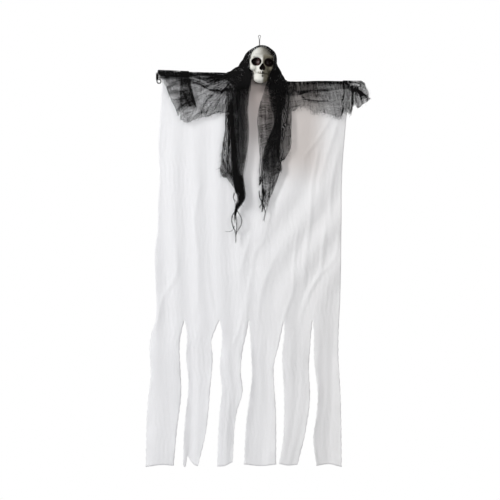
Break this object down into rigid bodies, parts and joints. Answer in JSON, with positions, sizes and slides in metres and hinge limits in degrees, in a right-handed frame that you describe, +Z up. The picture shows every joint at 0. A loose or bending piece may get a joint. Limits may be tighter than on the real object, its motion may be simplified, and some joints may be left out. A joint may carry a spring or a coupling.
{
  "type": "hanging fabric ghost",
  "caption": "Hanging skull ghost: a white cloth robe on a wire, with a skull head and black gauze hood and sleeves.",
  "frame": {"origin": "top of the hanging loop, where the thing hangs from its hook", "axes": "+X towards the right arm as seen from the front, +Y from the face to the back, +Z up along the robe's length"},
  "size_m": [0.6192, 0.0979, 1.205],
  "materials": {
    "robe_polyester": "thin white woven polyester, matte",
    "black_gauze": "open black gauze with pulled and frayed threads",
    "skull_plastic": "moulded ivory plastic with a dark wash in the hollows",
    "wire_iron": "black annealed iron wire",
    "cord": "thin black twisted cord"
  },
  "bodies": {
    "root": {"arm_wire": "wire_iron", "robe": "robe_polyester", "skull": "skull_plastic", "hanging_cord": "cord", "wire_knot": "cord", "stopper_knot": "cord", "sleeve_left": "black_gauze", "sleeve_right": "black_gauze", "hood": "black_gauze"}
  },
  "joints": []
}
